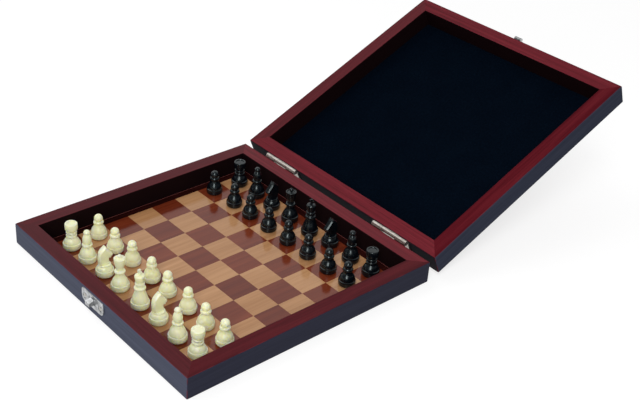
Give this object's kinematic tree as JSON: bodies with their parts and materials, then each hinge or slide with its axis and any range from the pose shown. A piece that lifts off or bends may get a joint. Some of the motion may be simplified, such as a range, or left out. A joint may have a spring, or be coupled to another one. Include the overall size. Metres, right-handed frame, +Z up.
{
  "type": "travel chess set",
  "caption": "Hinged wooden box whose tray is a veneered magnetic chessboard, with a felt-lined lid, a hasp and keeper, and moulded men that stand on the board.",
  "frame": {"origin": "middle of the tray's underside, on the surface it rests on", "axes": "+X along the hinge line, +Y from the hasp side to the hinges, +Z up; the lid stands open"},
  "size_m": [0.2, 0.3998, 0.097],
  "materials": {
    "rail_wood": "dark red-brown stain under gloss lacquer",
    "panel_wood": "stained plywood under lacquer",
    "steel": "plain sheet",
    "light_veneer": "pale veneer under gloss lacquer",
    "dark_veneer": "red-brown veneer under gloss lacquer",
    "border_veneer": "dark veneer under gloss lacquer",
    "felt": "blue-black felt",
    "nickel": "bright nickel plate on pressed steel",
    "screw_steel": "plated steel",
    "white_men": "moulded ivory plastic",
    "black_men": "moulded black plastic"
  },
  "bodies": {
    "tray": {"base_panel": "panel_wood", "board_border": "border_veneer", "dark_squares": "dark_veneer", "hinge_pins": "screw_steel", "keeper_plate": "nickel", "keeper_screws": "screw_steel", "left_hinge_tray_leaf": "nickel", "light_squares": "light_veneer", "right_hinge_tray_leaf": "nickel", "steel_sheet": "steel", "tray_back_rail": "rail_wood", "tray_front_rail": "rail_wood", "tray_hinge_screws": "screw_steel", "tray_left_rail": "rail_wood", "tray_right_rail": "rail_wood"},
    "lid": {"lid_front_rail": "rail_wood", "lid_back_rail": "rail_wood", "lid_left_rail": "rail_wood", "lid_right_rail": "rail_wood", "lid_panel": "panel_wood", "lid_felt": "felt", "left_hinge_lid_leaf": "nickel", "right_hinge_lid_leaf": "nickel", "lid_hinge_screws": "screw_steel", "hasp_plate": "nickel", "hasp_plate_screws": "screw_steel", "hasp_pin": "screw_steel"},
    "hasp": {"hasp": "nickel"},
    "black_bishop_1": {"black_bishop_1": "black_men"},
    "black_bishop_2": {"black_bishop_2": "black_men"},
    "black_king": {"black_king": "black_men"},
    "black_knight_1": {"black_knight_1": "black_men"},
    "black_knight_2": {"black_knight_2": "black_men"},
    "black_pawn_1": {"black_pawn_1": "black_men"},
    "black_pawn_2": {"black_pawn_2": "black_men"},
    "black_pawn_3": {"black_pawn_3": "black_men"},
    "black_pawn_4": {"black_pawn_4": "black_men"},
    "black_pawn_5": {"black_pawn_5": "black_men"},
    "black_pawn_6": {"black_pawn_6": "black_men"},
    "black_pawn_7": {"black_pawn_7": "black_men"},
    "black_pawn_8": {"black_pawn_8": "black_men"},
    "black_queen": {"black_queen": "black_men"},
    "black_rook_1": {"black_rook_1": "black_men"},
    "black_rook_2": {"black_rook_2": "black_men"},
    "white_bishop_1": {"white_bishop_1": "white_men"},
    "white_bishop_2": {"white_bishop_2": "white_men"},
    "white_king": {"white_king": "white_men"},
    "white_knight_1": {"white_knight_1": "white_men"},
    "white_knight_2": {"white_knight_2": "white_men"},
    "white_pawn_1": {"white_pawn_1": "white_men"},
    "white_pawn_2": {"white_pawn_2": "white_men"},
    "white_pawn_3": {"white_pawn_3": "white_men"},
    "white_pawn_4": {"white_pawn_4": "white_men"},
    "white_pawn_5": {"white_pawn_5": "white_men"},
    "white_pawn_6": {"white_pawn_6": "white_men"},
    "white_pawn_7": {"white_pawn_7": "white_men"},
    "white_pawn_8": {"white_pawn_8": "white_men"},
    "white_queen": {"white_queen": "white_men"},
    "white_rook_1": {"white_rook_1": "white_men"},
    "white_rook_2": {"white_rook_2": "white_men"}
  },
  "joints": [
    {"name": "latch_swing", "type": "hinge", "parent": "lid", "child": "hasp", "pos_m": [0, 0.28989, 0.09555], "axis": [-1, 0, 0], "range_deg": [-176, 2]},
    {"name": "lid_hinge", "type": "hinge", "parent": "tray", "child": "lid", "pos_m": [0, 0.102, 0.0166], "axis": [-1, 0, 0], "range_deg": [-156.9, 23]},
    {"name": "lift_black_bishop_1", "type": "slide", "parent": "tray", "child": "black_bishop_1", "axis": [0, 0, 1], "range_m": [0, 0.045]},
    {"name": "lift_black_bishop_2", "type": "slide", "parent": "tray", "child": "black_bishop_2", "axis": [0, 0, 1], "range_m": [0, 0.045]},
    {"name": "lift_black_king", "type": "slide", "parent": "tray", "child": "black_king", "axis": [0, 0, 1], "range_m": [0, 0.045]},
    {"name": "lift_black_knight_1", "type": "slide", "parent": "tray", "child": "black_knight_1", "axis": [0, 0, 1], "range_m": [0, 0.045]},
    {"name": "lift_black_knight_2", "type": "slide", "parent": "tray", "child": "black_knight_2", "axis": [0, 0, 1], "range_m": [0, 0.045]},
    {"name": "lift_black_pawn_1", "type": "slide", "parent": "tray", "child": "black_pawn_1", "axis": [0, 0, 1], "range_m": [0, 0.045]},
    {"name": "lift_black_pawn_2", "type": "slide", "parent": "tray", "child": "black_pawn_2", "axis": [0, 0, 1], "range_m": [0, 0.045]},
    {"name": "lift_black_pawn_3", "type": "slide", "parent": "tray", "child": "black_pawn_3", "axis": [0, 0, 1], "range_m": [0, 0.045]},
    {"name": "lift_black_pawn_4", "type": "slide", "parent": "tray", "child": "black_pawn_4", "axis": [0, 0, 1], "range_m": [0, 0.045]},
    {"name": "lift_black_pawn_5", "type": "slide", "parent": "tray", "child": "black_pawn_5", "axis": [0, 0, 1], "range_m": [0, 0.045]},
    {"name": "lift_black_pawn_6", "type": "slide", "parent": "tray", "child": "black_pawn_6", "axis": [0, 0, 1], "range_m": [0, 0.045]},
    {"name": "lift_black_pawn_7", "type": "slide", "parent": "tray", "child": "black_pawn_7", "axis": [0, 0, 1], "range_m": [0, 0.045]},
    {"name": "lift_black_pawn_8", "type": "slide", "parent": "tray", "child": "black_pawn_8", "axis": [0, 0, 1], "range_m": [0, 0.045]},
    {"name": "lift_black_queen", "type": "slide", "parent": "tray", "child": "black_queen", "axis": [0, 0, 1], "range_m": [0, 0.045]},
    {"name": "lift_black_rook_1", "type": "slide", "parent": "tray", "child": "black_rook_1", "axis": [0, 0, 1], "range_m": [0, 0.045]},
    {"name": "lift_black_rook_2", "type": "slide", "parent": "tray", "child": "black_rook_2", "axis": [0, 0, 1], "range_m": [0, 0.045]},
    {"name": "lift_white_bishop_1", "type": "slide", "parent": "tray", "child": "white_bishop_1", "axis": [0, 0, 1], "range_m": [0, 0.045]},
    {"name": "lift_white_bishop_2", "type": "slide", "parent": "tray", "child": "white_bishop_2", "axis": [0, 0, 1], "range_m": [0, 0.045]},
    {"name": "lift_white_king", "type": "slide", "parent": "tray", "child": "white_king", "axis": [0, 0, 1], "range_m": [0, 0.045]},
    {"name": "lift_white_knight_1", "type": "slide", "parent": "tray", "child": "white_knight_1", "axis": [0, 0, 1], "range_m": [0, 0.045]},
    {"name": "lift_white_knight_2", "type": "slide", "parent": "tray", "child": "white_knight_2", "axis": [0, 0, 1], "range_m": [0, 0.045]},
    {"name": "lift_white_pawn_1", "type": "slide", "parent": "tray", "child": "white_pawn_1", "axis": [0, 0, 1], "range_m": [0, 0.045]},
    {"name": "lift_white_pawn_2", "type": "slide", "parent": "tray", "child": "white_pawn_2", "axis": [0, 0, 1], "range_m": [0, 0.045]},
    {"name": "lift_white_pawn_3", "type": "slide", "parent": "tray", "child": "white_pawn_3", "axis": [0, 0, 1], "range_m": [0, 0.045]},
    {"name": "lift_white_pawn_4", "type": "slide", "parent": "tray", "child": "white_pawn_4", "axis": [0, 0, 1], "range_m": [0, 0.045]},
    {"name": "lift_white_pawn_5", "type": "slide", "parent": "tray", "child": "white_pawn_5", "axis": [0, 0, 1], "range_m": [0, 0.045]},
    {"name": "lift_white_pawn_6", "type": "slide", "parent": "tray", "child": "white_pawn_6", "axis": [0, 0, 1], "range_m": [0, 0.045]},
    {"name": "lift_white_pawn_7", "type": "slide", "parent": "tray", "child": "white_pawn_7", "axis": [0, 0, 1], "range_m": [0, 0.045]},
    {"name": "lift_white_pawn_8", "type": "slide", "parent": "tray", "child": "white_pawn_8", "axis": [0, 0, 1], "range_m": [0, 0.045]},
    {"name": "lift_white_queen", "type": "slide", "parent": "tray", "child": "white_queen", "axis": [0, 0, 1], "range_m": [0, 0.045]},
    {"name": "lift_white_rook_1", "type": "slide", "parent": "tray", "child": "white_rook_1", "axis": [0, 0, 1], "range_m": [0, 0.045]},
    {"name": "lift_white_rook_2", "type": "slide", "parent": "tray", "child": "white_rook_2", "axis": [0, 0, 1], "range_m": [0, 0.045]}
  ]
}
